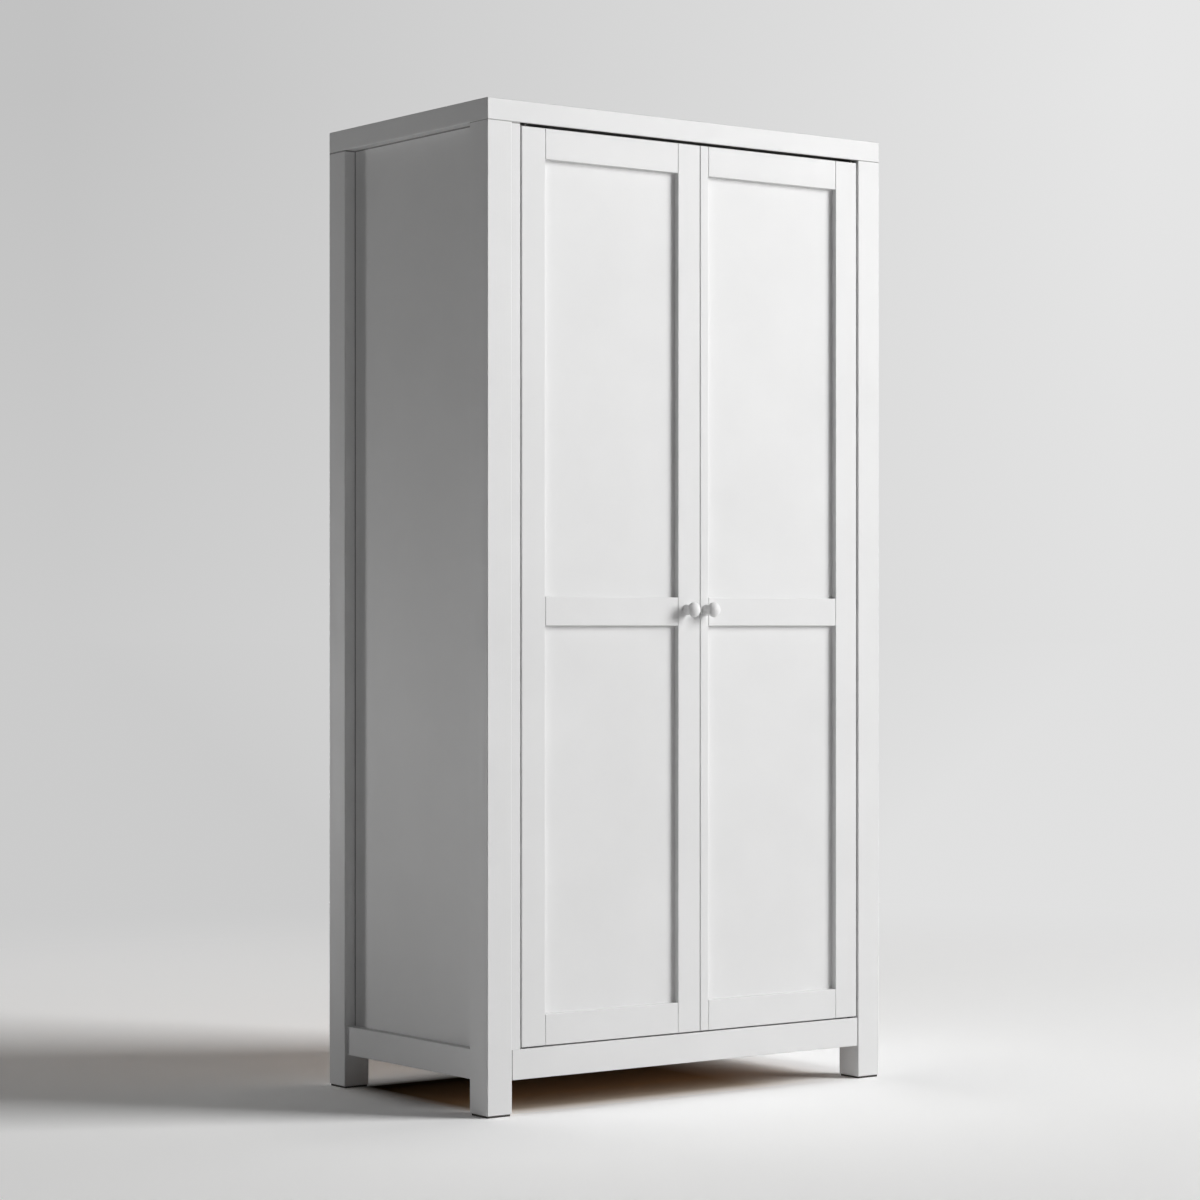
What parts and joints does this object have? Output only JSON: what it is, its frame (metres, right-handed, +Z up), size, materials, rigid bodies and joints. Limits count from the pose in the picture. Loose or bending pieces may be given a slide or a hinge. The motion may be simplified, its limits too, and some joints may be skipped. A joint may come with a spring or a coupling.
{
  "type": "wardrobe",
  "caption": "White wooden wardrobe: slab top on square posts, set-back side panels, framed doors with round knobs turning on pivots, hat shelf and clothes rail inside.",
  "frame": {"origin": "on the floor, in the middle of the whole outline with the knobs", "axes": "+X to the right seen from the front, +Y from the doors to the back, +Z up"},
  "size_m": [1.018, 0.617, 2],
  "materials": {
    "white_paint": "satin white paint",
    "floor_board": "painted on top, raw brown board below",
    "back_board": "white-faced hardboard",
    "bright_rail": "polished plating",
    "zinc_steel": "zinc plated",
    "bush_plastic": "black nylon",
    "catch_plastic": "moulded",
    "dark_glide": "matt",
    "dowel_wood": "bare beech"
  },
  "bodies": {
    "carcass": {"back_muntin": "white_paint", "clothes_rail": "bright_rail", "floor_board": "floor_board", "foot_glides": "dark_glide", "front_left_post": "white_paint", "front_lower_rail": "white_paint", "front_right_post": "white_paint", "front_upper_rail": "white_paint", "hat_shelf": "white_paint", "hinge_strip": "white_paint", "left_back_panel": "back_board", "left_catch": "catch_plastic", "left_lower_rail": "white_paint", "left_rail_socket": "bright_rail", "left_shelf_rail": "white_paint", "left_side_panel": "white_paint", "lower_bushes": "bush_plastic", "rear_left_post": "white_paint", "rear_lower_rail": "white_paint", "rear_right_post": "white_paint", "rear_upper_rail": "white_paint", "right_back_panel": "back_board", "right_catch": "catch_plastic", "right_lower_rail": "white_paint", "right_rail_socket": "bright_rail", "right_shelf_rail": "white_paint", "right_side_panel": "white_paint", "top_angles": "zinc_steel", "top_dowels": "dowel_wood", "top_panel": "white_paint", "upper_bushes": "bush_plastic"},
    "left_door": {"left_door_bottom_rail": "white_paint", "left_door_hinge_stile": "white_paint", "left_door_knob": "white_paint", "left_door_knob_screw": "zinc_steel", "left_door_lower_panel": "white_paint", "left_door_lower_pivot": "zinc_steel", "left_door_meeting_stile": "white_paint", "left_door_middle_rail": "white_paint", "left_door_strike_plate": "zinc_steel", "left_door_top_rail": "white_paint", "left_door_upper_panel": "white_paint", "left_door_upper_pivot": "zinc_steel"},
    "right_door": {"right_door_bottom_rail": "white_paint", "right_door_hinge_stile": "white_paint", "right_door_knob": "white_paint", "right_door_knob_screw": "zinc_steel", "right_door_lower_panel": "white_paint", "right_door_lower_pivot": "zinc_steel", "right_door_meeting_stile": "white_paint", "right_door_middle_rail": "white_paint", "right_door_strike_plate": "zinc_steel", "right_door_top_rail": "white_paint", "right_door_upper_panel": "white_paint", "right_door_upper_pivot": "zinc_steel"}
  },
  "joints": [
    {"name": "left_door_hinge", "type": "hinge", "parent": "carcass", "child": "left_door", "pos_m": [-0.4143, -0.267, 1], "axis": [0, 0, -1], "range_deg": [0, 110]},
    {"name": "right_door_hinge", "type": "hinge", "parent": "carcass", "child": "right_door", "pos_m": [0.4352, -0.267, 1], "axis": [0, 0, 1], "range_deg": [0, 110]}
  ]
}
